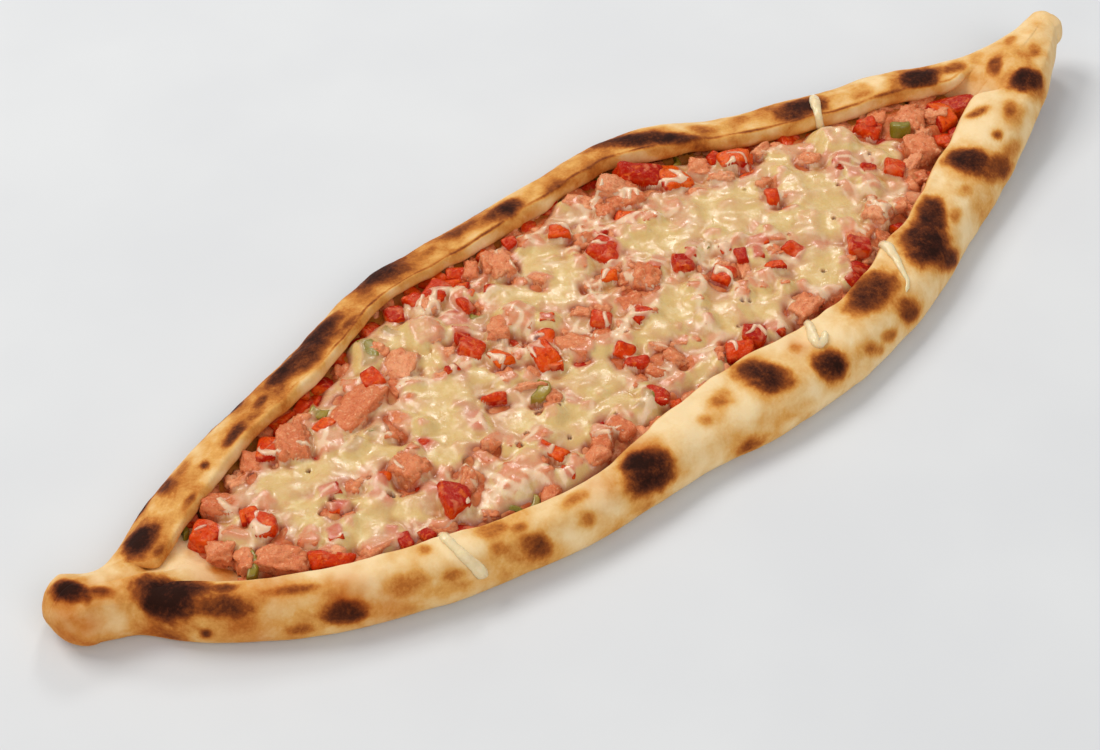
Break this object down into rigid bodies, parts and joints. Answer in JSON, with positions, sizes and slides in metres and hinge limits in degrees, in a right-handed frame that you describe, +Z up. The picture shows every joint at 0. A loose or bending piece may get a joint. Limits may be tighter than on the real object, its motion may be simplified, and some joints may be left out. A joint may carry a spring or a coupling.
{
  "type": "turkish pide",
  "caption": "Boat-shaped flatbread with folded, scorched rims and pinched ends, filled with diced chicken, tomato and green pepper under melted cheese.",
  "frame": {"origin": "middle of the bread's outline in plan, on the plane its flat base lies on", "axes": "+X along the boat from the rolled knob to the lifted, pinched tip; +Z up; +Y towards the side away from the viewer of the picture"},
  "size_m": [0.452, 0.1468, 0.0239],
  "materials": {
    "crust": "matt, floury baked crust with dark scorch spots",
    "filling": "wet, oily chopped filling",
    "cheese": "melted, glossy and slightly oily",
    "tomato": "wet cut tomato",
    "chicken": "cooked, moist, fibrous meat",
    "pepper": "soft roasted green pepper"
  },
  "bodies": {
    "root": {"bread": "crust", "filling_bed": "filling", "melted_cheese": "cheese", "chicken_01": "chicken", "chicken_02": "chicken", "chicken_03": "chicken", "chicken_04": "chicken", "chicken_05": "chicken", "chicken_06": "chicken", "chicken_07": "chicken", "chicken_08": "chicken", "chicken_09": "chicken", "chicken_10": "chicken", "chicken_11": "chicken", "chicken_12": "chicken", "chicken_13": "chicken", "chicken_14": "chicken", "chicken_15": "chicken", "chicken_16": "chicken", "pepper_01": "pepper", "pepper_02": "pepper", "pepper_03": "pepper", "pepper_04": "pepper", "pepper_05": "pepper", "tomato_01": "tomato", "tomato_02": "tomato", "tomato_03": "tomato", "tomato_04": "tomato", "tomato_05": "tomato", "tomato_06": "tomato", "tomato_07": "tomato", "tomato_08": "tomato", "tomato_09": "tomato", "tomato_10": "tomato", "tomato_11": "tomato", "tomato_12": "tomato", "tomato_13": "tomato", "tomato_14": "tomato", "tomato_15": "tomato", "tomato_16": "tomato", "tomato_17": "tomato", "tomato_18": "tomato", "tomato_19": "tomato", "tomato_20": "tomato"}
  },
  "joints": []
}
